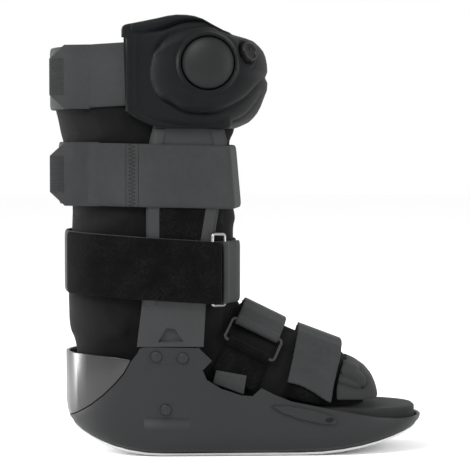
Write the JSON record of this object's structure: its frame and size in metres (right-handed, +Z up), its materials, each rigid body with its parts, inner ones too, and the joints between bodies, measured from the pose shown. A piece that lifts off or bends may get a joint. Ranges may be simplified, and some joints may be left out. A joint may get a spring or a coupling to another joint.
{
  "type": "medical walking boot",
  "caption": "Tall padded walking boot with a rocker shell, side struts, leg and foot straps, and an air pump cover.",
  "frame": {"origin": "centre of the sole's flat, on its underside", "axes": "+X from heel to toe, -Y the side with the pump bulb, +Z up the leg"},
  "size_m": [0.3037, 0.1677, 0.3525],
  "materials": {
    "tread_rubber": "matte",
    "shell_plastic": "fine satin moulding",
    "cup_plastic": "satin",
    "board_cover": "matte foam",
    "strap_weave": "smooth laminated strap",
    "loop_cloth": "napped loop cloth",
    "liner_cloth": "brushed knit over foam",
    "cover_cloth": "moulded fine knit over foam",
    "bulb_rubber": "soft matte",
    "dial_plastic": "satin",
    "wire_steel": "bright wire"
  },
  "bodies": {
    "boot": {"outsole": "tread_rubber", "base_shell": "shell_plastic", "heel_cup": "cup_plastic", "insole_board": "board_cover", "strut_far": "shell_plastic", "strut_near": "shell_plastic", "hook_pad_far": "loop_cloth", "hook_pad_near": "loop_cloth", "rivet_far_1": "shell_plastic", "rivet_near_1": "shell_plastic", "rivet_far_2": "shell_plastic", "rivet_near_2": "shell_plastic", "rivet_far_3": "shell_plastic", "rivet_near_3": "shell_plastic", "liner_foot": "liner_cloth", "liner_heel": "liner_cloth", "liner_leg": "liner_cloth", "toe_cover": "strap_weave", "top_strap": "strap_weave", "middle_strap": "strap_weave", "ankle_strap": "strap_weave", "ankle_overlap": "loop_cloth", "ankle_wrap": "strap_weave", "ankle_ring": "wire_steel", "instep_strap": "strap_weave", "instep_pad": "loop_cloth", "instep_ring": "wire_steel", "instep_webbing": "loop_cloth", "instep_webbing_far": "loop_cloth", "instep_patch": "strap_weave", "toe_strap": "strap_weave", "toe_pad": "loop_cloth", "toe_clip_far": "shell_plastic", "toe_clip_near": "shell_plastic", "pump_bulb": "bulb_rubber", "pump_cover": "cover_cloth"},
    "dial": {"valve_dial": "dial_plastic"}
  },
  "joints": [
    {"name": "valve_turn", "type": "hinge", "parent": "boot", "child": "dial", "pos_m": [0.00632, -0.05633, 0.32001], "axis": [0.7014, -0.6316, 0.3304], "range_deg": [0, 90]}
  ]
}
